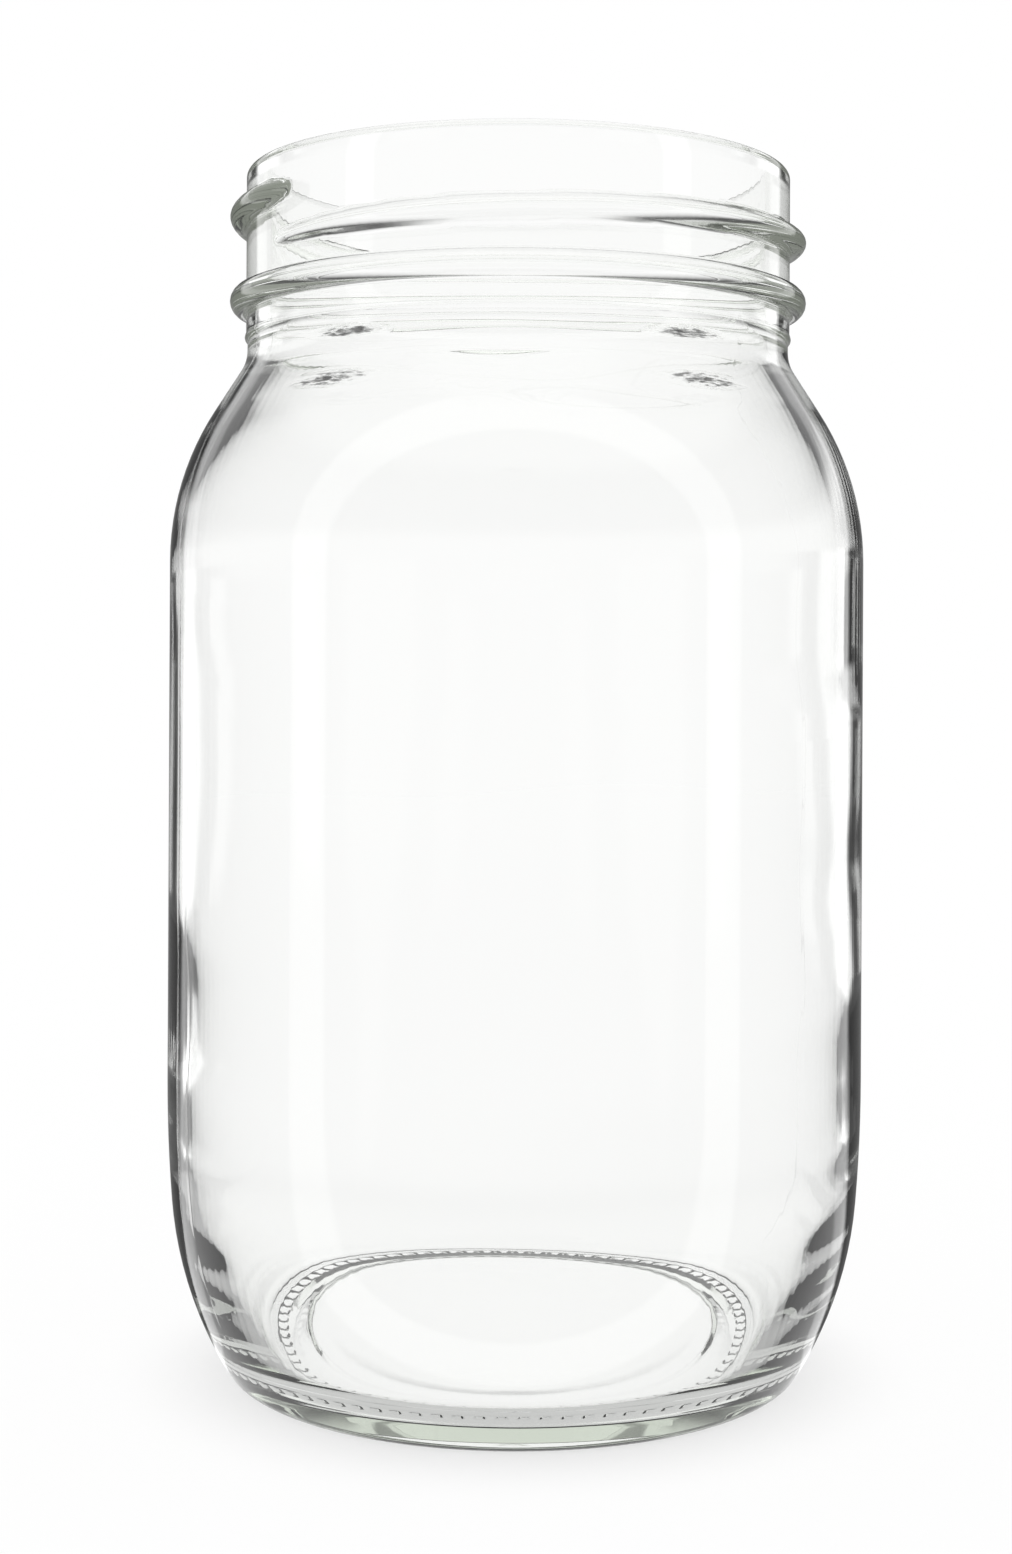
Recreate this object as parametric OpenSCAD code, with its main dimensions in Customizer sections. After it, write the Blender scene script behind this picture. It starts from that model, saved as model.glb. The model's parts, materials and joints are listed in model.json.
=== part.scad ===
// Wide-mouth glass jar with a one-turn external screw thread.
// A jar is blown as one piece of glass. It is drawn here as the regions that a
// jar mould is divided into, stacked face to face on level planes.
// Millimetres, +Z up. The origin is the centre of the circle the jar stands on.

/* [Body] */
// Outer diameter of the straight body
body_d = 98.4; // [90:0.2:125]
// Height from the standing surface to the top of the rim
jar_h = 169.6; // [135:0.2:215]
// Thickness of the straight side wall
wall = 2.3; // [1.8:0.1:3.2]

/* [Base] */
// Height of the inner floor's edge above the standing surface
floor_h = 4; // [3.4:0.1:8]
// Rise of the inner floor from its edge to its level middle
floor_rise = 0.5; // [0.2:0.1:2]
// Diameter of the level middle of the inner floor
floor_flat_d = 48; // [36:1:52]
// Radius of the fillet between the inner floor and the wall
floor_fillet = 8; // [5:0.5:10]
// Radius of the rounded corner that the jar stands on
corner_r = 3; // [2:0.1:4]
// Height at which the curve of the heel starts
heel_h = 42; // [33:0.5:50]
// Radius of the heel curve
heel_r = 53; // [50:0.5:62]
// Slope of the heel where it meets the corner, measured from upright
heel_lean = 31.5; // [28:0.5:33]
// Distance from the heel's start down to where the wall starts to curve inside
heel_in_drop = 6; // [3:0.5:9]
// Radius of the curve inside the heel
heel_in_r = 56; // [50:0.5:64]
// Width of the level ring that the jar stands on
bearing_w = 1.8; // [1.4:0.1:2.8]
// Height of the push-up under the middle of the base
push_up = 2.3; // [1.8:0.1:2.8]
// Height of the step round the push-up
step_h = 0.9; // [0.4:0.1:1.2]
// Distance from the knurled groove in to the step
step_gap = 3.4; // [2:0.1:8]

/* [Knurling] */
// Number of grip ribs around the underside
rib_count = 78; // [40:1:90]
// Length of a rib
rib_len = 1.9; // [1.4:0.1:3]
// Width of a rib
rib_w = 1; // [0.6:0.1:1.4]
// Depth of the groove that the ribs stand in
rib_depth = 0.6; // [0.3:0.1:0.9]

/* [Shoulder] */
// Radius of the shoulder curve
shoulder_r = 39; // [34:0.5:46]
// Slope of the shoulder's straight part, measured from upright
shoulder_lean = 32.6; // [28:0.2:38]
// Radius of the hollow curve from the shoulder into the neck
neck_fillet = 6; // [3:0.5:10]

/* [Finish] */
// Thickness of the neck and the finish
finish_wall = 3.2; // [2.4:0.1:4]
// Outer diameter over the thread and the bead
thread_d = 82; // [67:0.1:86]
// Depth of the thread, from its root to its crest
thread_depth = 2.3; // [1:0.1:3]
// Height from the neck's lower end to the top of the rim
finish_h = 25.4; // [25:0.1:32]
// Radius of the rounding on both edges of the rim
rim_r = 1; // [0.4:0.1:1.2]
// Distance from the rim down to the middle of the bead
bead_drop = 18.5; // [17.5:0.1:19]
// Radius of the bead's section
bead_r = 1.8; // [1.2:0.1:2.2]
// How far the neck's parting ring stands out
parting_ring = 0.4; // [0.2:0.1:0.6]

/* [Thread] */
// Rise of the thread in one turn
thread_lead = 6.35; // [5:0.05:8]
// Angle that the thread goes round
thread_sweep = 366; // [300:1:400]
// Distance from the rim down to the middle of the thread's start
thread_drop = 6; // [5:0.1:6.5]
// Width of the thread at its root
thread_w = 3.6; // [2:0.1:4]
// Direction of the thread's start, counted anticlockwise from +X seen from above
thread_start = 218; // [0:1:359]
// Angle over which the thread's blunt start rises
run_in = 9; // [4:1:20]
// Angle over which the thread's end fades out
run_out = 46; // [20:1:80]

/* [Hidden] */

glass = [0.80, 0.85, 0.83, 0.55];
round_fn = 96;
arc_steps = 10;
fine_steps = 5;

body_r = body_d / 2;
finish_r = thread_d / 2 - thread_depth;
neck_step = 0.2;
neck_r = finish_r - neck_step;
bore_r = neck_r - finish_wall;

// The outside of the shoulder: a curve from upright to shoulder_lean, a straight
// slope, and the hollow neck_fillet back to upright at the neck's lower end.
curve_in = 1 - cos(shoulder_lean);
slope_run = body_r - neck_r - (shoulder_r + neck_fillet) * curve_in;
slope_len = slope_run / sin(shoulder_lean);
shoulder_rise = (shoulder_r + neck_fillet) * sin(shoulder_lean) + slope_len * cos(shoulder_lean);
neck_z = jar_h - finish_h;
body_top = neck_z - shoulder_rise;

// The outside of the heel: a long curve that turns by heel_ease, a rounder one
// of heel_r that turns on to heel_lean, and the corner that meets the ground.
heel_ease = 4.6;
heel_fall = heel_r * (sin(heel_lean) - sin(heel_ease)) + corner_r * (1 - sin(heel_lean));
ease_r = (heel_h - heel_fall) / sin(heel_ease);
ease_centre = [body_r - ease_r, heel_h];
ease_end = ease_centre + ease_r * [cos(heel_ease), -sin(heel_ease)];
heel_centre = ease_end - heel_r * [cos(heel_ease), -sin(heel_ease)];
heel_end = heel_centre + heel_r * [cos(heel_lean), -sin(heel_lean)];
corner_centre = heel_end - corner_r * [cos(heel_lean), -sin(heel_lean)];

// The inside of the heel: one long curve in from the wall, which thickens the
// glass downwards, and the fillet onto the floor. floor_meet is the slope of
// the wall where the two meet.
heel_in_centre = [body_r - wall - heel_in_r, heel_h - heel_in_drop];
fillet_z = floor_h + floor_fillet;
heel_in_run = sqrt(pow(heel_in_r - floor_fillet, 2) - pow(heel_in_centre[1] - fillet_z, 2));
fillet_centre = [heel_in_centre[0] + heel_in_run, fillet_z];
floor_meet = atan2(heel_in_centre[1] - fillet_z, heel_in_run);

// The underside, from the middle of the push-up out to the bearing ring. The
// ribs stand in a groove inside that ring, with their feet level with it.
step_top = push_up - 0.2;
step_foot = step_top - step_h;
step_slope = 0.6;
groove_slope = 0.3;
bearing_r = corner_centre[0] - bearing_w;
groove_outer_r = bearing_r - groove_slope;
rib_outer_r = groove_outer_r - groove_slope;
rib_inner_r = rib_outer_r - rib_len;
groove_inner_r = rib_inner_r - groove_slope;
step_r = groove_inner_r - step_gap;

// Levels at which one region ends and the next begins.
heel_split = fillet_z;
wall_split = heel_split + 14;
bead_z = jar_h - bead_drop;
bead_low = bead_z - bead_r;
bead_high = bead_z + bead_r;
bead_centre_r = thread_d / 2 - bead_r;
ring_z = neck_z + 1.8;
ring_half = 0.7;

sweep_step = 5;
section_steps = 8;

// Points round a centre, from one radius to another.
function spiral(centre, first_r, last_r, from, to, steps) =
    [for (i = [0:steps])
        let (
            a = from + (to - from) * i / steps,
            r = first_r + (last_r - first_r) * i / steps
        )
        centre + r * [cos(a), sin(a)]
    ];
function arc(centre, r, from, to, steps) = spiral(centre, r, r, from, to, steps);

function underside() = [
    [0, push_up],
    [step_r - step_slope, step_top],
    [step_r, step_foot],
    [groove_inner_r, rib_depth],
    [groove_outer_r, rib_depth],
    [bearing_r, 0],
];

function outside() = concat(
    arc(corner_centre, corner_r, -90, -heel_lean, fine_steps),
    arc(heel_centre, heel_r, -heel_lean, -heel_ease, arc_steps),
    arc(ease_centre, ease_r, -heel_ease, 0, fine_steps),
    arc([body_r - shoulder_r, body_top], shoulder_r, 0, shoulder_lean, arc_steps),
    arc([neck_r + neck_fillet, neck_z], neck_fillet, 180 + shoulder_lean, 180, fine_steps),
    [[neck_r, ring_z - ring_half], [neck_r + parting_ring, ring_z]],
    [[neck_r + parting_ring, ring_z + ring_half / 2], [finish_r, ring_z + ring_half]],
    arc([finish_r - rim_r, jar_h - rim_r], rim_r, 0, 90, fine_steps)
);

function inside() = concat(
    arc([bore_r + rim_r, jar_h - rim_r], rim_r, 90, 180, fine_steps),
    arc([neck_r + neck_fillet, neck_z], neck_fillet + finish_wall, 180, 180 + shoulder_lean, fine_steps),
    spiral([body_r - shoulder_r, body_top], shoulder_r - finish_wall, shoulder_r - wall,
        shoulder_lean, 0, arc_steps),
    arc(heel_in_centre, heel_in_r, 0, -floor_meet, arc_steps),
    arc(fillet_centre, floor_fillet, -floor_meet, -90, arc_steps),
    [[floor_flat_d / 2, floor_h + floor_rise], [0, floor_h + floor_rise]]
);

module glass_section() {
    polygon(concat(underside(), outside(), inside()));
}

// The part of the glass between two levels.
module region(low, high) {
    rotate_extrude($fn = round_fn)
        intersection() {
            union() {
                glass_section();
                children();
            }
            translate([0, low])
                square([body_d, high - low]);
        }
}

module bead_section() {
    intersection() {
        translate([bead_centre_r, bead_z])
            circle(r = bead_r, $fn = round_fn);
        translate([bore_r + finish_wall / 2, bead_low])
            square([thread_d, 2 * bead_r]);
    }
}

module ribs() {
    for (i = [0:rib_count - 1])
        rotate([0, 0, 360 * i / rib_count])
            translate([rib_inner_r, -rib_w / 2, 0])
                cube([rib_len, rib_w, rib_depth + 0.2]);
}

module base() {
    color(glass) {
        region(0, heel_split);
        ribs();
    }
}

module heel() {
    color(glass)
        region(heel_split, wall_split);
}

module body_wall() {
    color(glass)
        region(wall_split, body_top);
}

module shoulder() {
    color(glass)
        region(body_top, neck_z);
}

module neck() {
    color(glass)
        region(neck_z, bead_low);
}

module transfer_bead() {
    color(glass)
        region(bead_low, bead_high)
            bead_section();
}

module finish() {
    color(glass)
        region(bead_high, jar_h);
}

// Height of the thread's crest above its root at angle t of its sweep, as a
// share of its full depth: a blunt rise, a level run and a long fade.
function crest(t) =
    t < run_in ? sin(90 * t / run_in) :
    t > thread_sweep - run_out ? cos(90 * (t - thread_sweep + run_out) / run_out) :
    1;
least_crest = 0.08;

// The thread is swept in flat steps. Its root stands where the middle of each
// step just touches the round finish.
sweep_steps = ceil(thread_sweep / sweep_step);
seat_r = finish_r / cos(thread_sweep / sweep_steps / 2);

// One half-oval section of the thread.
function thread_section(t) =
    let (
        share = max(crest(t), least_crest),
        angle = thread_start - t,
        z = jar_h - thread_drop - thread_lead * t / 360,
        half = thread_w / 2 * (0.4 + 0.6 * share),
        rise = (thread_d / 2 - seat_r) * share
    )
    [for (i = [0:section_steps])
        let (a = 180 * i / section_steps - 90, r = seat_r + rise * cos(a))
        [r * cos(angle), r * sin(angle), z + half * sin(a)]
    ];

module screw_thread() {
    ring = section_steps + 1;
    points = [for (k = [0:sweep_steps]) each thread_section(thread_sweep * k / sweep_steps)];
    sides = [
        for (k = [0:sweep_steps - 1])
            for (i = [0:ring - 1])
                let (a = k * ring + i, b = k * ring + (i + 1) % ring)
                each [[a, b, b + ring], [a, b + ring, a + ring]]
    ];
    first = [for (i = [ring - 1:-1:0]) i];
    last = [for (i = [0:ring - 1]) sweep_steps * ring + i];
    color(glass)
        polyhedron(points, concat(sides, [first, last]), convexity = 6);
}

base();
heel();
body_wall();
shoulder();
neck();
transfer_bead();
finish();
screw_thread();
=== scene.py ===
"""A clear glass jar with a screw finish, standing on a white studio floor.

The jar is one continuous piece of glass, so a single mesh stands for all the CAD
nodes. Lengths are in metres, +Z is up and the jar's axis is the Z axis.
"""

import json
import math

import bpy
import numpy as np
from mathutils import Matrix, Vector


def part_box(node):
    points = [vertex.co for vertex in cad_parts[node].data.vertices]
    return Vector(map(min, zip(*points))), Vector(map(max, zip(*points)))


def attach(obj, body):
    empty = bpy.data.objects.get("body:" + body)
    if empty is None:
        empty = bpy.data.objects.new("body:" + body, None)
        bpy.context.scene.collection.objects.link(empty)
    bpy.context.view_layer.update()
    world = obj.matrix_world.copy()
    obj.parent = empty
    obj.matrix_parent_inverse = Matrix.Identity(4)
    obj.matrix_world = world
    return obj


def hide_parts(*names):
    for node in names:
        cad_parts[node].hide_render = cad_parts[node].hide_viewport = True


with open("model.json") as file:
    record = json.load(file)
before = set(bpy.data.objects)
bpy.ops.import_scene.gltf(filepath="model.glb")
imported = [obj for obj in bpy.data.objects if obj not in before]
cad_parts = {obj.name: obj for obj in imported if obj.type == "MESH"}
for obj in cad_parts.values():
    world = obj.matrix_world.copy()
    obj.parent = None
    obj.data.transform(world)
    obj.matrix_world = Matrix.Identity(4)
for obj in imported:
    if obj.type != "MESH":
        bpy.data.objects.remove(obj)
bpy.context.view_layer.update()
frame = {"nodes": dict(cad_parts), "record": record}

MM = 0.001

# ---------------------------------------------------------------- sizes
# Read from the frame, so that the glass is as large as the CAD model.
MOUNTS = {m["name"]: m for m in frame["record"]["mounts"]}
BODY_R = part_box("body_wall")[1].x
JAR_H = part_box("finish")[1].z
NECK_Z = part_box("neck")[0].z
BEAD_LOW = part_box("transfer_bead")[0].z
BEAD_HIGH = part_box("transfer_bead")[1].z
THREAD_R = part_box("screw_thread")[1].x
BORE_R = MOUNTS["mouth_bore"]["dims"]["r_mm"] * MM

# The jar's other sizes, as in the CAD model. First the walls and the inside.
WALL = 2.3 * MM
FINISH_WALL = 3.2 * MM
HEEL_IN_DROP = 6.0 * MM
HEEL_IN_R = 56.0 * MM
FLOOR_H = 4.0 * MM
FLOOR_RISE = 0.5 * MM
FLOOR_FLAT_R = 24.0 * MM
FLOOR_FILLET = 8.0 * MM

# The heel and the base, with the push-up's step and the ribs in their groove.
CORNER_R = 3.0 * MM
HEEL_H = 42.0 * MM
HEEL_R = 53.0 * MM
HEEL_EASE = math.radians(4.6)
HEEL_LEAN = math.radians(31.5)
BEARING_W = 1.8 * MM
PUSH_UP = 2.3 * MM
DOME_FALL = 0.2 * MM
STEP_H = 0.9 * MM
STEP_GAP = 3.4 * MM
RIB_COUNT = 78
RIB_LEN = 1.9 * MM
RIB_DEPTH = 0.6 * MM
RIB_END = 0.3 * MM
GROOVE_SLOPE = 0.3 * MM

# The shoulder, the neck with its parting ring, the bead and the rim.
SHOULDER_R = 39.0 * MM
SHOULDER_LEAN = math.radians(32.6)
NECK_FILLET = 6.0 * MM
NECK_STEP = 0.2 * MM
PARTING_RING = 0.4 * MM
RING_ROUND = 0.05 * MM
RING_ABOVE_NECK = 1.8 * MM
RING_HALF = 0.7 * MM
BEAD_R = (BEAD_HIGH - BEAD_LOW) / 2
BEAD_Z = (BEAD_HIGH + BEAD_LOW) / 2
RIM_R = 1.0 * MM

# The thread. Its sweep, start and two ends are in degrees, and its section is blunter
# the smaller THREAD_ROUND is.
THREAD_DEPTH = 2.3 * MM
THREAD_LEAD = 6.35 * MM
THREAD_DROP = 6.0 * MM
THREAD_W = 3.6 * MM
THREAD_LEAST_W = 0.4
THREAD_ROUND = 0.65
THREAD_SWEEP = 366.0
THREAD_START = 218.0
RUN_IN = 12.0
RUN_OUT = 46.0

FINISH_R = THREAD_R - THREAD_DEPTH
NECK_R = FINISH_R - NECK_STEP

# How many points each stretch of the profile has.
ROWS_UNDER = {"dome": 4, "slope": 3}
ROWS_OUT = {
    "corner": 8, "heel": 12, "ease": 7, "side": 4, "shoulder": 13,
    "hollow": 8, "bead": 13, "thread": 38, "rim": 7,
}
ROWS_IN = {
    "rim": 7, "bore": 10, "hollow": 9, "shoulder": 19, "side": 30,
    "heel": 26, "fillet": 12, "rise": 7, "floor": 4,
}

# How far those stretches stop short of their neighbours, or reach past them.
SIDE_MARGIN = 1 * MM
BEAD_FOOT = 0.25 * MM
THREAD_ABOVE_BEAD = 0.4 * MM
THREAD_UNDER_RIM = 3.2 * MM
BORE_FOOT = 2 * MM
FLOOR_MARGIN = 4 * MM

# A rib's foot and root: how far they reach to each side, as shares of the ribs' pitch.
RIB_FOOT = 0.14
RIB_ROOT = 0.27

# ---------------------------------------------------------------- traces of the making
# Only the visual model has these. The two mould seams fade in and out near their ends.
SEAMS = (math.radians(-158.0), math.radians(22.0))
SEAM_HALF = math.radians(0.28)
SEAM_H = 0.035 * MM
SEAM_FROM = 6 * MM
SEAM_FADE_IN = 4 * MM
SEAM_FADE_OUT = 2 * MM

# How the blown wall thickens and thins up its two sides: levels and extra thicknesses in
# mm, at directions in degrees, and how far they spread round the jar.
WALL_SIDES = {
    -171.7: [
        (24, 0), (36, 0.4), (43, 0.3), (49, 0.8), (55, 0.8), (66, -0.2), (86, -0.2),
        (99, -0.3), (111, -0.8), (121, -0.4), (136, 0),
    ],
    -8.3: [
        (24, 0), (36, 0.4), (46, 0.3), (56, -0.3), (62, -0.1), (72, 0.2), (82, 0),
        (92, 0), (102, 0.6), (109, 0.5), (118, 0.2), (136, 0),
    ],
}
SIDE_SPREAD = math.radians(32.0)

# The waves of the glass's inner side: heights, and for each kind its random seed, most
# turns round the jar, shortest and longest wave.
WAVE_COUNT = 9
WAVE_H = 0.07 * MM
RIPPLE_H = 0.07 * MM
NECK_RIPPLES = 1.5
BODY_WAVES = (7, 5, 24 * MM, 80 * MM)
HEEL_WAVES = (11, 9, 4.5 * MM, 9 * MM)
NECK_WAVES = (5, 7, 7 * MM, 16 * MM)

# Where they are: all of them under the rim and above the floor, the heel's on its flanks
# only (by the cosine of the direction), and the neck's around the neck.
WAVES_UNDER_RIM = 22 * MM
WAVES_FADE_RIM = 8 * MM
WAVES_FADE_FLOOR = 12 * MM
HEEL_TOP = 46 * MM
HEEL_FADE = 20 * MM
FLANK_FROM = 0.76
FLANK_FADE = 0.18
NECK_REACH = 16 * MM
NECK_FADE = 8 * MM

# ---------------------------------------------------------------- the glass
IOR = 1.5
TINT = (0.68, 0.735, 0.64, 1)
TINT_DENSITY = 18.0
MOST_ROUGH = 0.01
ROUGH_WHERE = (0.4, 0.8)

# The ripples in its surface: their depth and their grain per metre, and the base's deeper
# ones, with the levels where those end.
RIPPLE_DEPTH = 0.005 * MM
RIPPLE_SCALE = 60.0
BASE_DEPTH = 0.05 * MM
BASE_RIPPLE = (6 * MM, 12 * MM)

# The chill marks: their depth, the tone of the painted shade on them, grain per metre and
# flatness; how far they are from the front; their levels and half sizes; the middle part
# that is at full strength; how far above and below they are cut off; and how much of the
# grain gets the painted shade.
CHILL_DEPTH = 0.08 * MM
CHILL_PAINTED_SHADE = 0.05
CHILL_SCALE = 600.0
CHILL_FLAT = 6.0
CHILL_TURN = math.radians(36)
CHILL_LEVELS = (136.5 * MM, 143.3 * MM)
CHILL_HALF = (math.radians(11), 1.1 * MM)
CHILL_CORE = 0.1
CHILL_CUT = (1.5 * MM, 2 * MM)
CHILL_SHADE_WHERE = (0.4, 0.58)

# A painted glow in the finish, standing in for the light that paths lose at the bounce limit:
# its strength, its colour, and how many times the ray must have been mirrored.
PAINTED_GLOW = 0.1
PAINTED_GLOW_COLOUR = (0.9, 0.95, 0.84, 1)
PAINTED_GLOW_AFTER = 2.5

# ---------------------------------------------------------------- the room
# The studio as the outside of the glass mirrors it: tones at degrees from the front, with
# an arch of light round the front and the edge of the lit backdrop behind. A bright ceiling
# begins at an upward part of a direction. The floor is seen from one level of the glass.
MIRRORED = [
    (0, 1.0), (62, 1.0), (63.5, 1.9), (75, 1.9), (76.5, 1.0), (127, 1.0),
    (129, 1.6), (137, 1.6), (141, 0.1), (158, 0.15), (180, 0.45),
]
ARCH_HEIGHT = 1.6
CEILING = (0.86, 0.93)
CEILING_TONE = 1.5
MIRROR_LEVEL = 0.04

# The dark screens beside each of the room's four sides, as rays see them that were
# mirrored inside a wall: tones at degrees from the middle of the nearest side. They are
# faint in front and full behind.
SCREENS_LOW = [
    (0, 0.12), (12, 0.12), (17, 1.0), (21, 1.0), (24, 0.02),
    (29, 0.02), (32, 0.3), (35, 1.25), (45, 1.25),
]
SCREENS_HIGH = [
    (0, 0.6), (8, 0.5), (16, 0.35), (24, 0.05), (26, 0.02),
    (29, 0.02), (32, 0.3), (35, 1.25), (45, 1.25),
]
SCREENS_FLOOR = [
    (0, 0.12), (12, 0.1), (20, 0.08), (24, 0.02),
    (29, 0.02), (32, 0.2), (36, 1.25), (45, 1.25),
]
SCREEN_SHARE = (0.2, 1.0)

# What those rays see higher up, by a direction's upward part: where the low screens turn
# into the high ones, the light gap over them, and the overhead from dark to light.
HIGH = (0.015, 0.04)
GAP_FOOT = (0.07, 0.12)
GAP_TOP = (0.22, 0.34)
GAP_TONE = 0.9
OVERHEAD = (0.6, 0.75)
OVERHEAD_DARK = 0.03
OVERHEAD_LIGHT = 0.7

# What rays see that the glass only bent: white, but for a ceiling that darkens from the
# middle of each side to the corners between them.
DARK_ABOVE = (0.3, 0.5)
CORNER_FADE = (0.2, 0.6)
CORNER_TONE = 0.05

# How many times a ray has passed a surface of the glass when it sees white again.
DEEP_AFTER = 3.5

# The floor's tones for rays mirrored inside a wall, by the distance from the jar's axis.
# Those rays leave the jar this far aside of its axis.
NEAR_FLOOR = (0.08, 0.16)
NEAR_FLOOR_TONE = 0.6
DARK_FLOOR = (0.15, 0.3)
DARK_FLOOR_TONE = 0.05
FAR_FLOOR = (0.5, 0.9)
RAYS_ASIDE = 46 * MM

# The paper and its own glow, and the share of it that gives way to plain white or to the
# tones above: to rays mirrored or bent, and to the camera beside the jar and away from
# it. Beyond HORIZON's distances all of it does.
FLOOR_HALF = 3.0
PAPER = (0.8, 0.8, 0.8, 1)
PAPER_GLOW = 0.2
THROUGH_SHARE = 0.96
CONTACT = (0.04, 0.058)
CONTACT_SHARES = (0.6, 0.93)
HORIZON = (0.3, 1.5)


# ---------------------------------------------------------------- profile
def arc(centre, first_r, last_r, first, last, count):
    """Points round a centre, from one radius and angle to another."""
    a = np.linspace(first, last, count)
    r = np.linspace(first_r, last_r, count)
    return np.stack([centre[0] + r * np.cos(a), centre[1] + r * np.sin(a)], -1)


def line(first, last, count):
    """Points from one point to another."""
    return np.linspace(first, last, count)


def shoulder_points():
    """The centres of the shoulder's and of the neck's hollow curve, and the body's top."""
    turn = 1 - math.cos(SHOULDER_LEAN)
    run = BODY_R - NECK_R - (SHOULDER_R + NECK_FILLET) * turn
    slope = run / math.sin(SHOULDER_LEAN)
    curves = (SHOULDER_R + NECK_FILLET) * math.sin(SHOULDER_LEAN)
    body_top = NECK_Z - (curves + slope * math.cos(SHOULDER_LEAN))
    return (BODY_R - SHOULDER_R, body_top), (NECK_R + NECK_FILLET, NECK_Z), body_top


def heel_points():
    """The heel's long curve with its radius, and the centres of its rounder curve and corner."""
    fall = HEEL_R * (math.sin(HEEL_LEAN) - math.sin(HEEL_EASE))
    fall += CORNER_R * (1 - math.sin(HEEL_LEAN))
    ease_r = (HEEL_H - fall) / math.sin(HEEL_EASE)
    ease = (BODY_R - ease_r, HEEL_H)
    step = ease_r - HEEL_R
    heel = (ease[0] + step * math.cos(HEEL_EASE), ease[1] - step * math.sin(HEEL_EASE))
    step = HEEL_R - CORNER_R
    corner = (heel[0] + step * math.cos(HEEL_LEAN), heel[1] - step * math.sin(HEEL_LEAN))
    return ease, ease_r, heel, corner


SHOULDER, HOLLOW, BODY_TOP = shoulder_points()
EASE, EASE_R, HEEL, CORNER = heel_points()
BEARING_R = CORNER[0] - BEARING_W
GROOVE_OUT = BEARING_R - GROOVE_SLOPE
RIB_OUT = GROOVE_OUT - GROOVE_SLOPE
RIB_IN = RIB_OUT - RIB_LEN
GROOVE_IN = RIB_IN - GROOVE_SLOPE
STEP_R = GROOVE_IN - STEP_GAP


def underside():
    """From the middle of the push-up out to the bearing ring."""
    top = PUSH_UP - DOME_FALL
    foot = top - STEP_H
    dome = line((0.0, PUSH_UP), (STEP_R - 3.0 * MM, top + 0.02 * MM), ROWS_UNDER["dome"])
    # The step is rounded at its edge and at its foot.
    step = [
        (STEP_R - 0.8 * MM, top),
        (STEP_R - 0.5 * MM, top - 0.1 * STEP_H),
        (STEP_R - 0.1 * MM, foot + 0.15 * STEP_H),
        (STEP_R + 0.3 * MM, foot),
    ]
    slope_start = (STEP_R + 1.0 * MM, foot - 0.1 * MM)
    slope = line(slope_start, (GROOVE_IN, RIB_DEPTH), ROWS_UNDER["slope"])
    rib_ends = (RIB_IN, RIB_IN + RIB_END, (RIB_IN + RIB_OUT) / 2, RIB_OUT - RIB_END, RIB_OUT)
    ribs = [(r, RIB_DEPTH) for r in rib_ends]
    land = [(GROOVE_OUT, RIB_DEPTH), (BEARING_R, 0.0), (CORNER[0] - 0.4 * MM, 0.0)]
    return np.concatenate([dome, step, slope, ribs, land])


def outside():
    """From the corner that the jar stands on up to the crown of the rim."""
    rows = ROWS_OUT
    side_low, side_high = (BODY_R, HEEL_H + SIDE_MARGIN), (BODY_R, BODY_TOP - SIDE_MARGIN)
    ring_z = NECK_Z + RING_ABOVE_NECK
    ring_r = NECK_R + PARTING_RING
    ring = [
        (NECK_R, ring_z - RING_HALF),
        (ring_r - RING_ROUND, ring_z - 0.3 * RING_HALF),
        (ring_r, ring_z),
        (ring_r - RING_ROUND, ring_z + 0.3 * RING_HALF),
        (FINISH_R, ring_z + RING_HALF),
    ]
    bead = (THREAD_R - BEAD_R, BEAD_Z)
    bead_half = math.acos((FINISH_R - bead[0]) / BEAD_R)
    thread_low = (FINISH_R, BEAD_HIGH + THREAD_ABOVE_BEAD)
    thread_high = (FINISH_R, JAR_H - THREAD_UNDER_RIM)
    rim = (FINISH_R - RIM_R, JAR_H - RIM_R)
    return np.concatenate([
        arc(CORNER, CORNER_R, CORNER_R, -math.pi / 2, -HEEL_LEAN, rows["corner"]),
        arc(HEEL, HEEL_R, HEEL_R, -HEEL_LEAN, -HEEL_EASE, rows["heel"])[1:],
        arc(EASE, EASE_R, EASE_R, -HEEL_EASE, 0, rows["ease"])[1:],
        line(side_low, side_high, rows["side"]),
        [(BODY_R, BODY_TOP)],
        arc(SHOULDER, SHOULDER_R, SHOULDER_R, 0, SHOULDER_LEAN, rows["shoulder"])[1:],
        arc(HOLLOW, NECK_FILLET, NECK_FILLET, math.pi + SHOULDER_LEAN, math.pi, rows["hollow"]),
        ring,
        [(FINISH_R, BEAD_LOW - BEAD_FOOT)],
        arc(bead, BEAD_R, BEAD_R, -bead_half, bead_half, rows["bead"]),
        line(thread_low, thread_high, rows["thread"]),
        arc(rim, RIM_R, RIM_R, 0, math.pi / 2, rows["rim"]),
    ])


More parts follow.
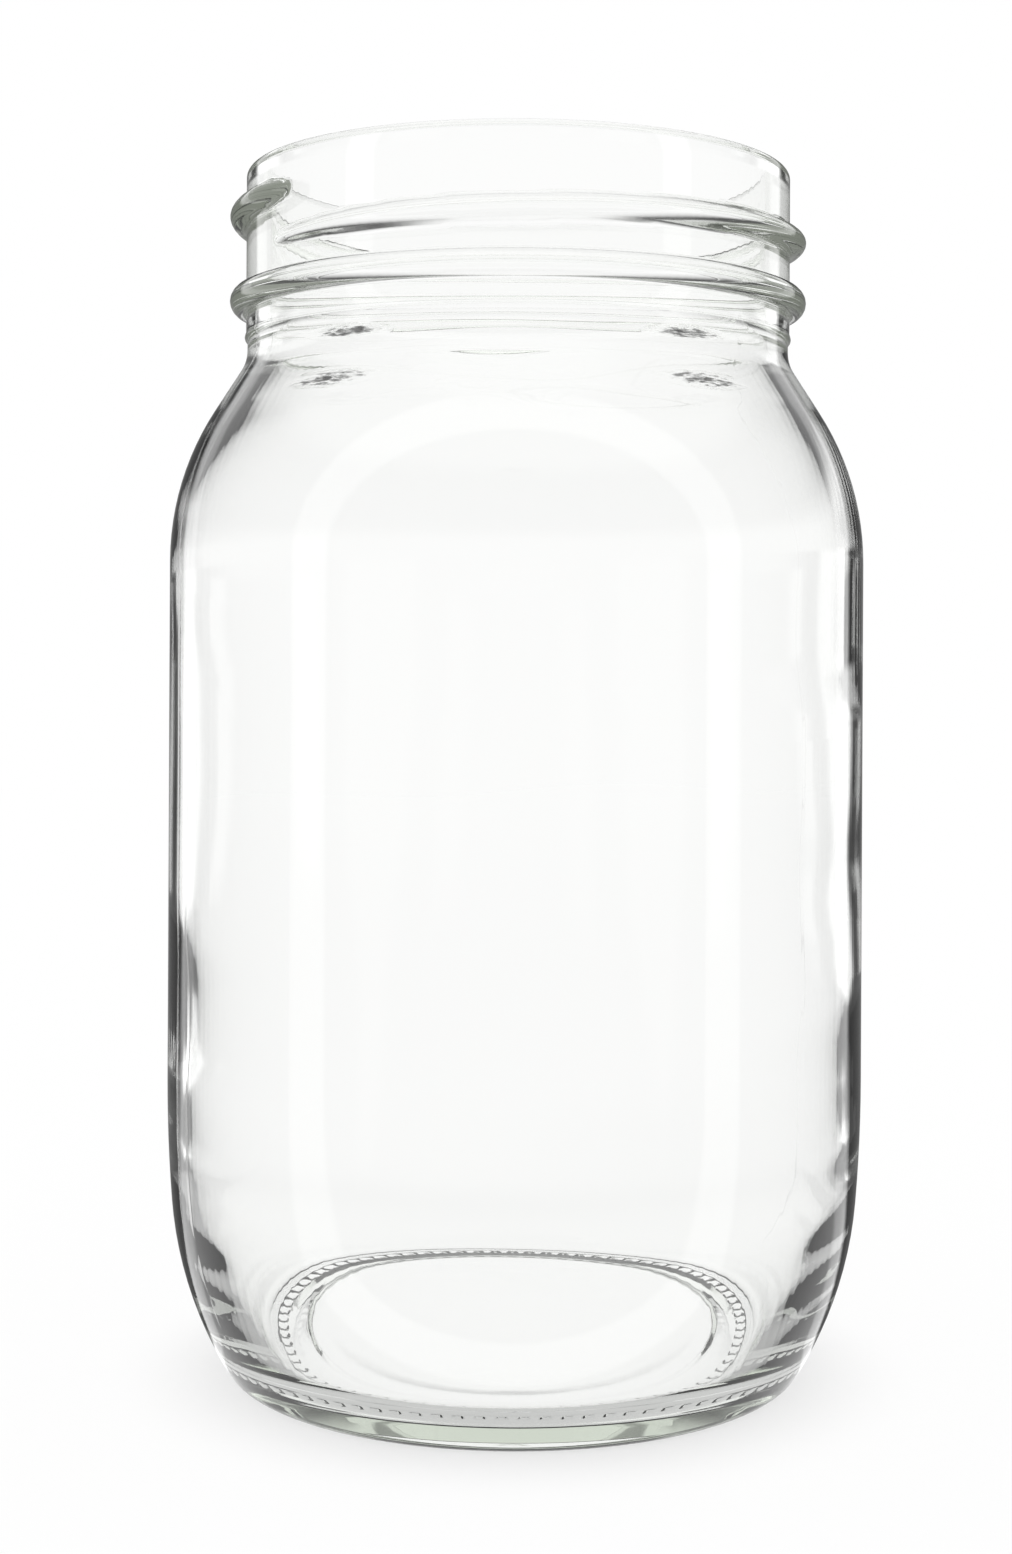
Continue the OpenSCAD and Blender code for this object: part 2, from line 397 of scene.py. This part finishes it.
def inside():
    """From the crown of the rim down to the middle of the inner floor."""
    rows = ROWS_IN
    rim = (BORE_R + RIM_R, JAR_H - RIM_R)
    bore_high, bore_low = (BORE_R, JAR_H - 3 * RIM_R), (BORE_R, NECK_Z + BORE_FOOT)
    hollow_r = NECK_FILLET + FINISH_WALL
    shoulder_r = SHOULDER_R - FINISH_WALL, SHOULDER_R - WALL
    heel = (BODY_R - WALL - HEEL_IN_R, HEEL_H - HEEL_IN_DROP)
    side_high, side_low = (BODY_R - WALL, BODY_TOP), (BODY_R - WALL, heel[1])
    drop = heel[1] - FLOOR_H - FLOOR_FILLET
    run = math.sqrt((HEEL_IN_R - FLOOR_FILLET) ** 2 - drop**2)
    fillet = (heel[0] + run, FLOOR_H + FLOOR_FILLET)
    meet = math.atan2(drop, run)
    rise = [
        (fillet[0] + (FLOOR_FLAT_R - fillet[0]) * t, FLOOR_H + FLOOR_RISE * t * t * (3 - 2 * t))
        for t in np.linspace(0, 1, rows["rise"])
    ]
    floor_z = FLOOR_H + FLOOR_RISE
    return np.concatenate([
        arc(rim, RIM_R, RIM_R, math.pi / 2, math.pi, rows["rim"]),
        line(bore_high, bore_low, rows["bore"]),
        arc(HOLLOW, hollow_r, hollow_r, math.pi, math.pi + SHOULDER_LEAN, rows["hollow"]),
        arc(SHOULDER, *shoulder_r, SHOULDER_LEAN, 0, rows["shoulder"]),
        line(side_high, side_low, rows["side"])[1:],
        arc(heel, HEEL_IN_R, HEEL_IN_R, 0, -meet, rows["heel"])[1:],
        arc(fillet, FLOOR_FILLET, FLOOR_FILLET, -meet, -math.pi / 2, rows["fillet"])[1:],
        rise[1:],
        line((FLOOR_FLAT_R - FLOOR_MARGIN, floor_z), (0.0, floor_z), rows["floor"]),
    ])


# ---------------------------------------------------------------- mesh
def ramp(distance, length):
    """A distance as a share of a length: 0 before it begins and 1 past its end."""
    return np.clip(distance / length, 0, 1)


def turned(az, middle):
    """The angle from a middle direction to each direction, from half a turn back to half on."""
    return (az - middle + math.pi) % (2 * math.pi) - math.pi


def azimuths():
    """The meridians' directions: five to each rib's pitch, on the edges of its foot and root."""
    shares = np.array([-RIB_FOOT, RIB_FOOT, RIB_ROOT, 0.5, 1 - RIB_ROOT])
    turns = (np.arange(RIB_COUNT)[:, None] + shares).ravel() / RIB_COUNT
    even = (turns * 2 * math.pi) % (2 * math.pi)
    seams = [(seam + side * SEAM_HALF) % (2 * math.pi) for seam in SEAMS for side in (-1, 0, 1)]
    clear = [a for a in even if min(abs(a - s) for s in seams) > 0.5 * SEAM_HALF]
    return np.sort(np.array(clear + seams))


def crest(t):
    """The thread's height at a degree of its sweep, as a share of its depth.

    It rises bluntly at the start and fades slowly at the end.
    """
    rise = np.sin(ramp(t, RUN_IN) * math.pi / 2)
    fade = np.cos(ramp(t - THREAD_SWEEP + RUN_OUT, RUN_OUT) * math.pi / 2)
    return np.where((t < 0) | (t > THREAD_SWEEP), 0.0, rise * fade)


def thread_height(az, z):
    """How far the thread stands out at each direction and level."""
    out = np.zeros(np.broadcast(az, z).shape)
    first = (THREAD_START - np.degrees(az)) % 360
    for t in (first, first + 360):
        share = crest(t)
        half = THREAD_W / 2 * (THREAD_LEAST_W + (1 - THREAD_LEAST_W) * share)
        centre = JAR_H - THREAD_DROP - THREAD_LEAD * t / 360
        u = ramp(np.abs(z - centre), half)
        out = np.maximum(out, THREAD_DEPTH * share * (1 - u * u) ** THREAD_ROUND)
    return out


def rib_drop(az, r):
    """How far a rib's foot reaches below the groove at each direction and radius."""
    share = (az / (2 * math.pi) * RIB_COUNT) % 1.0
    side = np.minimum(share, 1 - share)
    across = ramp(RIB_ROOT - side, RIB_ROOT - RIB_FOOT)
    ends = ramp(np.minimum(r - RIB_IN, RIB_OUT - r), RIB_END)
    return RIB_DEPTH * across * ends


def seam_ridge(az):
    """The share of a seam's height at each direction."""
    away = [np.abs(turned(az, seam)) for seam in SEAMS]
    return np.clip(1 - np.minimum(*away) / SEAM_HALF, 0, 1)


def waves(az, z, seed, most_turns, shortest, longest):
    """Smooth waves of the blown glass, about one unit high, the same on every run."""
    rng = np.random.default_rng(seed)
    out = np.zeros(np.broadcast(az, z).shape)
    for _ in range(WAVE_COUNT):
        turns = rng.integers(-most_turns, most_turns + 1)
        wave = rng.uniform(shortest, longest)
        phase, lean = rng.uniform(0, 2 * math.pi, 2)
        swing = np.sin(turns * az + phase + 2 * math.pi * z / wave + lean)
        out += swing / math.sqrt(WAVE_COUNT)
    return out


def side_wall(az, z):
    """The extra thickness of the wall at each direction and level."""
    out = np.zeros(np.broadcast(az, z).shape)
    for degrees, levels in WALL_SIDES.items():
        near = np.exp(-((turned(az, math.radians(degrees)) / SIDE_SPREAD) ** 2))
        up, extra = (np.array(v) * MM for v in zip(*levels))
        after = np.clip(np.searchsorted(up, z), 1, len(up) - 1)
        before = after - 1
        t = ramp(z - up[before], up[after] - up[before])
        t = t * t * (3 - 2 * t)
        out += near * (extra[before] + (extra[after] - extra[before]) * t)
    return out


def grid_mesh(name, points):
    """A closed mesh from rows of points, with a single point at each end of the rows."""
    rows, cols = points.shape[:2]
    ring = np.arange(cols)
    pairs = [(int(a), int(b)) for a, b in zip(ring, (ring + 1) % cols)]
    verts = [points[0, 0], *points[1:-1].reshape(-1, 3), points[-1, 0]]
    faces = [(0, 1 + b, 1 + a) for a, b in pairs]
    for k in range(rows - 3):
        low, high = 1 + k * cols, 1 + (k + 1) * cols
        faces += [(low + a, low + b, high + b, high + a) for a, b in pairs]
    top = 1 + (rows - 3) * cols
    faces += [(top + a, top + b, len(verts) - 1) for a, b in pairs]
    mesh = bpy.data.meshes.new(name)
    mesh.from_pydata([tuple(map(float, v)) for v in verts], [], faces)
    mesh.polygons.foreach_set("use_smooth", [True] * len(mesh.polygons))
    mesh.update()
    obj = bpy.data.objects.new(name, mesh)
    bpy.context.scene.collection.objects.link(obj)
    return obj


def make_jar():
    """The whole jar, its profile turned round the axis and shaped at each direction."""
    bottom, outer, inner = underside(), outside(), inside()
    az = azimuths()[None, :]
    shape = (len(bottom) + len(outer) + len(inner), az.shape[1])
    profile = np.concatenate([bottom, outer, inner]).T
    r, z = (np.broadcast_to(v[:, None], shape).copy() for v in profile)
    z[: len(bottom)] -= rib_drop(az, r[: len(bottom)])

    out = slice(len(bottom), len(bottom) + len(outer))
    on_finish = (z[out] > BEAD_HIGH) & (z[out] < JAR_H - 1.5 * RIM_R)
    r[out] += np.where(on_finish, thread_height(az, z[out]), 0)
    on_mould = ramp(z[out] - SEAM_FROM, SEAM_FADE_IN) * ramp(BEAD_LOW - z[out], SEAM_FADE_OUT)
    r[out] += seam_ridge(az) * on_mould * SEAM_H

    inn = slice(len(bottom) + len(outer), len(r))
    body = ramp(JAR_H - WAVES_UNDER_RIM - z[inn], WAVES_FADE_RIM)
    body *= ramp(z[inn] - FLOOR_H, WAVES_FADE_FLOOR)
    r[inn] += waves(az, z[inn], *BODY_WAVES) * body * WAVE_H
    r[inn] -= side_wall(az, z[inn]) * body
    flank = ramp(np.abs(np.cos(az)) - FLANK_FROM, FLANK_FADE)
    heel = body * ramp(HEEL_TOP - z[inn], HEEL_FADE) * flank
    r[inn] += waves(az, z[inn], *HEEL_WAVES) * heel * RIPPLE_H
    neck = body * ramp(z[inn] - NECK_Z + NECK_REACH, NECK_FADE)
    r[inn] += waves(az, z[inn], *NECK_WAVES) * neck * NECK_RIPPLES * RIPPLE_H
    return grid_mesh("glass_jar", np.stack([r * np.cos(az), r * np.sin(az), z], -1))


# ---------------------------------------------------------------- materials
class Graph:
    """Short names for adding nodes to a node tree."""

    def __init__(self, tree):
        self.tree = tree
        tree.nodes.clear()

    def node(self, kind, **values):
        """A new node, with values for its inputs."""
        node = self.tree.nodes.new(kind)
        for name, value in values.items():
            node.inputs[name.replace("_", " ")].default_value = value
        return node

    def link(self, source, target):
        self.tree.links.new(source, target)

    def maths(self, operation, first, second=0.0):
        """An operation on numbers or outputs."""
        node = self.tree.nodes.new("ShaderNodeMath")
        node.operation = operation
        for socket, value in zip(node.inputs, (first, second)):
            if isinstance(value, (int, float)):
                socket.default_value = value
            else:
                self.link(value, socket)
        return node.outputs[0]

    def length(self, first, second):
        """The length of a vector with two parts."""
        squares = self.maths("MULTIPLY", first, first), self.maths("MULTIPLY", second, second)
        return self.maths("SQRT", self.maths("ADD", *squares))

    def fade(self, value, low, high, first=0.0, last=1.0):
        """A smooth change from first to last while the value goes from low to high."""
        ends = {"From_Min": low, "From_Max": high, "To_Min": first, "To_Max": last}
        node = self.node("ShaderNodeMapRange", **ends)
        node.interpolation_type = "SMOOTHSTEP"
        self.link(value, node.inputs["Value"])
        return node.outputs[0]

    def blend(self, share, first, second):
        """The first where the share is 0, the second where it is 1."""
        rest = self.maths("MULTIPLY", self.maths("SUBTRACT", 1.0, share), first)
        return self.maths("ADD", rest, self.maths("MULTIPLY", share, second))


def chill_and_shade_patches(g, x, y, z):
    """How strongly the chill marks and their painted shade show: at two levels, on both sides of
    the front.
    """
    low, high = CHILL_LEVELS
    near_cut, far_cut = CHILL_CUT
    turn = g.maths("ARCTAN2", g.maths("ABSOLUTE", x), g.maths("MULTIPLY", y, -1.0))
    along = g.maths("DIVIDE", g.maths("SUBTRACT", turn, CHILL_TURN), CHILL_HALF[0])
    off = g.maths("PINGPONG", g.maths("SUBTRACT", z, low), (high - low) / 2)
    up = g.maths("DIVIDE", off, CHILL_HALF[1])
    far = g.maths("ADD", g.maths("MULTIPLY", along, along), g.maths("MULTIPLY", up, up))
    above = g.fade(z, low - far_cut, low - near_cut)
    below = g.fade(z, high + near_cut, high + far_cut, 1.0, 0.0)
    near = g.fade(far, CHILL_CORE, 1.0, 1.0, 0.0)
    return g.maths("MULTIPLY", g.maths("MULTIPLY", above, below), near)


def glass_material():
    """Clear glass with a faint olive tint, gentle ripples, chill marks darkened with painted shade,
    and a painted glow in the finish.
    """
    mat = bpy.data.materials.new("jar_glass")
    mat.use_nodes = True
    g = Graph(mat.node_tree)
    place = g.node("ShaderNodeTexCoord").outputs["Object"]
    level = g.node("ShaderNodeSeparateXYZ")
    g.link(place, level.inputs[0])
    height = level.outputs["Z"]
    ripple = g.node("ShaderNodeTexNoise", Scale=RIPPLE_SCALE, Detail=2.0)
    g.link(place, ripple.inputs["Vector"])
    grain = g.node("ShaderNodeTexNoise", Scale=CHILL_SCALE, Detail=3.0)
    flat = g.node("ShaderNodeMapping", Scale=(1.0, 1.0, CHILL_FLAT))
    g.link(place, flat.inputs["Vector"])
    g.link(flat.outputs[0], grain.inputs["Vector"])
    # The chill marks' mask: it shapes both their relief and their painted shade.
    marks_and_shade = g.maths("MULTIPLY", chill_and_shade_patches(g, *level.outputs), grain.outputs["Fac"])

    depth = g.fade(height, *BASE_RIPPLE, BASE_DEPTH / RIPPLE_DEPTH, 1.0)
    swell = g.maths("MULTIPLY", ripple.outputs["Fac"], depth)
    relief = g.maths("ADD", swell, g.maths("MULTIPLY", marks_and_shade, CHILL_DEPTH / RIPPLE_DEPTH))
    bump = g.node("ShaderNodeBump", Strength=1.0, Distance=RIPPLE_DEPTH)
    g.link(relief, bump.inputs["Height"])

    fixed = {"IOR": IOR, "Transmission_Weight": 1.0, "Emission_Color": PAINTED_GLOW_COLOUR}
    glass = g.node("ShaderNodeBsdfPrincipled", **fixed)
    g.link(bump.outputs[0], glass.inputs["Normal"])
    rough = g.fade(ripple.outputs["Fac"], *ROUGH_WHERE, 0.0, MOST_ROUGH)
    g.link(rough, glass.inputs["Roughness"])
    # Painted shade: the glass's colour goes nearly black where the chill marks' grain is strong, so
    # the marks show dark.
    painted_smudge = g.fade(marks_and_shade, *CHILL_SHADE_WHERE, 1.0, CHILL_PAINTED_SHADE)
    shade = g.node("ShaderNodeCombineColor")
    for socket in shade.inputs:
        g.link(painted_smudge, socket)
    g.link(shade.outputs[0], glass.inputs["Base Color"])
    # Painted glow: the finish emits light to rays mirrored more than twice, in place of light lost
    # at the bounce limit.
    mirrored = g.node("ShaderNodeLightPath").outputs["Glossy Depth"]
    mirrored_often = g.maths("GREATER_THAN", mirrored, PAINTED_GLOW_AFTER)
    glow = g.fade(height, NECK_Z, BEAD_LOW, 0.0, PAINTED_GLOW)
    g.link(g.maths("MULTIPLY", mirrored_often, glow), glass.inputs["Emission Strength"])
    mat.cycles.emission_sampling = "NONE"

    tint = g.node("ShaderNodeVolumeAbsorption", Color=TINT, Density=TINT_DENSITY)
    out = g.node("ShaderNodeOutputMaterial")
    g.link(glass.outputs[0], out.inputs["Surface"])
    g.link(tint.outputs[0], out.inputs["Volume"])
    return mat


def tone_by_angle(g, share, tones, span):
    """The tone from a list of angles and tones, where the angle is a share of the span."""
    brightest = max(tone for _, tone in tones)
    ramp_node = g.node("ShaderNodeValToRGB")
    stops = ramp_node.color_ramp.elements
    while len(stops) < len(tones):
        stops.new(0.5)
    for stop, (degrees, tone) in zip(stops, tones):
        stop.position = degrees / span
        stop.color = (tone / brightest,) * 3 + (1.0,)
    g.link(share, ramp_node.inputs["Fac"])
    return g.maths("MULTIPLY", ramp_node.outputs["Color"], brightest)


def mirrored_tone(g, x, y, z, apart=None):
    """The studio's tone as the outside of the glass mirrors it.

    It goes by a direction, or by a place on the floor that is this far apart from the
    axis. Such a place is seen from the glass's side, which turns the angle a little.
    """
    across = g.length(x, g.maths("MULTIPLY", z, ARCH_HEIGHT))
    angle = g.maths("ARCTAN2", across, g.maths("MULTIPLY", y, -1.0))
    if apart is not None:
        aside = g.maths("MULTIPLY", g.maths("SINE", g.maths("MULTIPLY", angle, 0.5)), BODY_R)
        share = g.maths("DIVIDE", aside, g.maths("MAXIMUM", apart, BODY_R))
        angle = g.maths("ADD", angle, g.maths("ARCSINE", share))
    return tone_by_angle(g, g.maths("DIVIDE", angle, math.pi), MIRRORED, 180)


def from_sides(g, x, y):
    """How far a direction is from the nearest side's middle: 1 is 45 degrees."""
    turn = g.maths("DIVIDE", g.maths("ARCTAN2", y, x), math.pi / 4)
    return g.maths("PINGPONG", turn, 1.0)


def screen_tone(g, x, y, share, first, last, aside=0.0):
    """The screens' tone: the first list where the share is 0, the last where it is 1."""
    apart = g.maths("MAXIMUM", g.maths("SUBTRACT", from_sides(g, x, y), aside), 0.0)
    tone = g.blend(share, tone_by_angle(g, apart, first, 45), tone_by_angle(g, apart, last, 45))
    behind = g.maths("DIVIDE", y, g.length(x, y))
    return g.blend(g.fade(behind, -1.0, 1.0, *SCREEN_SHARE), 1.0, tone)


def room_tone(g, path, mirrored, screens, straight):
    """How bright the studio is to each kind of ray.

    It is white to rays that no surface mirrored or bent, and the straight tone to rays
    that the glass only bent. Rays mirrored on the outside see the mirrored tone. Rays
    mirrored inside one wall leave it sideways and see the screens, and those that went
    through more walls see white.
    """
    bounced = g.maths("GREATER_THAN", path.outputs["Glossy Depth"], 0.5)
    passed = path.outputs["Transmission Depth"]
    outer = g.maths("LESS_THAN", passed, 0.5)
    deep = g.maths("GREATER_THAN", passed, DEEP_AFTER)
    tone = g.blend(outer, g.blend(deep, screens, 1.0), mirrored)
    bent = g.maths("GREATER_THAN", passed, 0.5)
    return g.blend(bounced, g.blend(bent, 1.0, straight), tone)


def floor_material():
    """White paper that keeps the jar's shadow, with the room's tones for mirrored rays."""
    mat = bpy.data.materials.new("studio_paper")
    mat.use_nodes = True
    g = Graph(mat.node_tree)
    path = g.node("ShaderNodeLightPath")
    paper = g.node("ShaderNodeBsdfDiffuse", Color=PAPER)
    glow = g.node("ShaderNodeEmission")
    looked_at = g.maths("SUBTRACT", 1.0, path.outputs["Is Diffuse Ray"])
    g.link(g.maths("MULTIPLY", looked_at, PAPER_GLOW), glow.inputs["Strength"])
    lit = g.node("ShaderNodeAddShader")
    g.link(paper.outputs[0], lit.inputs[0])
    g.link(glow.outputs[0], lit.inputs[1])

    place = g.node("ShaderNodeSeparateXYZ")
    g.link(g.node("ShaderNodeNewGeometry").outputs["Position"], place.inputs[0])
    x, y, _ = place.outputs
    apart = g.length(x, y)
    aside = g.maths("DIVIDE", RAYS_ASIDE, g.maths("MAXIMUM", apart, RAYS_ASIDE))
    aside = g.maths("DIVIDE", g.maths("ARCSINE", aside), math.pi / 4)
    far = g.fade(apart, *FAR_FLOOR)
    beyond = screen_tone(g, x, y, far, SCREENS_FLOOR, SCREENS_LOW, aside)
    beyond = g.blend(g.fade(apart, *DARK_FLOOR), DARK_FLOOR_TONE, beyond)
    screens = g.blend(g.fade(apart, *NEAR_FLOOR), NEAR_FLOOR_TONE, beyond)
    mirrored = mirrored_tone(g, x, y, MIRROR_LEVEL, apart)
    seen = g.node("ShaderNodeEmission")
    g.link(room_tone(g, path, mirrored, screens, 1.0), seen.inputs["Strength"])

    through = g.maths("MAXIMUM", path.outputs["Is Transmission Ray"], path.outputs["Is Glossy Ray"])
    contact = g.fade(apart, *CONTACT, *CONTACT_SHARES)
    straight_on = g.maths("MULTIPLY", path.outputs["Is Camera Ray"], contact)
    share = g.maths("ADD", g.maths("MULTIPLY", through, THROUGH_SHARE), straight_on)
    share = g.blend(g.fade(apart, *HORIZON), share, 1.0)
    mix = g.node("ShaderNodeMixShader")
    g.link(share, mix.inputs["Fac"])
    g.link(lit.outputs[0], mix.inputs[1])
    g.link(seen.outputs[0], mix.inputs[2])
    out = g.node("ShaderNodeOutputMaterial")
    g.link(mix.outputs[0], out.inputs["Surface"])
    return mat


# ---------------------------------------------------------------- studio
def make_floor():
    """A square of paper under the jar."""
    half = FLOOR_HALF
    corners = [(-half, -half, 0), (half, -half, 0), (half, half, 0), (-half, half, 0)]
    mesh = bpy.data.meshes.new("studio_floor")
    mesh.from_pydata(corners, [], [(0, 1, 2, 3)])
    mesh.materials.append(floor_material())
    floor = bpy.data.objects.new("studio_floor", mesh)
    bpy.context.scene.collection.objects.link(floor)


def make_world():
    """A white room, with the arch, the screens and the ceiling that the glass shows."""
    world = bpy.data.worlds.new("studio")
    bpy.context.scene.world = world
    world.use_nodes = True
    g = Graph(world.node_tree)
    path = g.node("ShaderNodeLightPath")
    toward = g.node("ShaderNodeSeparateXYZ")
    g.link(g.node("ShaderNodeTexCoord").outputs["Generated"], toward.inputs[0])
    x, y, z = toward.outputs
    mirrored = g.blend(g.fade(z, *CEILING), mirrored_tone(g, x, y, z), CEILING_TONE)
    beside = screen_tone(g, x, y, g.fade(z, *HIGH), SCREENS_LOW, SCREENS_HIGH)
    below_gap = g.blend(g.fade(z, *GAP_FOOT), beside, GAP_TONE)
    overhead = g.fade(z, *OVERHEAD, OVERHEAD_DARK, OVERHEAD_LIGHT)
    screens = g.blend(g.fade(z, *GAP_TOP), below_gap, overhead)
    ceiling = g.fade(from_sides(g, x, y), *CORNER_FADE, 1.0, CORNER_TONE)
    straight = g.blend(g.fade(z, *DARK_ABOVE), 1.0, ceiling)
    back = g.node("ShaderNodeBackground", Color=(1, 1, 1, 1))
    g.link(room_tone(g, path, mirrored, screens, straight), back.inputs["Strength"])
    out = g.node("ShaderNodeOutputWorld")
    g.link(back.outputs[0], out.inputs["Surface"])


def make_camera():
    """A level camera, with the picture shifted as the photograph is framed."""
    width, height = 1012, 1554
    focal_px = 2367.3
    axis_px, horizon_px = 516.2, 660.9
    distance, level = 339.5 * MM, 100.45 * MM
    roll = -0.0048
    cam = bpy.data.cameras.new("camera")
    cam.sensor_width = 36.0
    cam.lens = focal_px / height * cam.sensor_width
    cam.shift_x = (width / 2 - axis_px) / height
    cam.shift_y = (horizon_px - height / 2) / height
    obj = bpy.data.objects.new("camera", cam)
    obj.location = (0, -distance, level)
    obj.rotation_euler = (math.pi / 2, roll, 0)
    bpy.context.scene.collection.objects.link(obj)
    bpy.context.scene.camera = obj


make_camera()
make_world()
make_floor()
jar = make_jar()
jar.data.materials.append(glass_material())
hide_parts(*sorted(frame["nodes"]))
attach(jar, "root")
bpy.context.scene.view_settings.view_transform = "Standard"
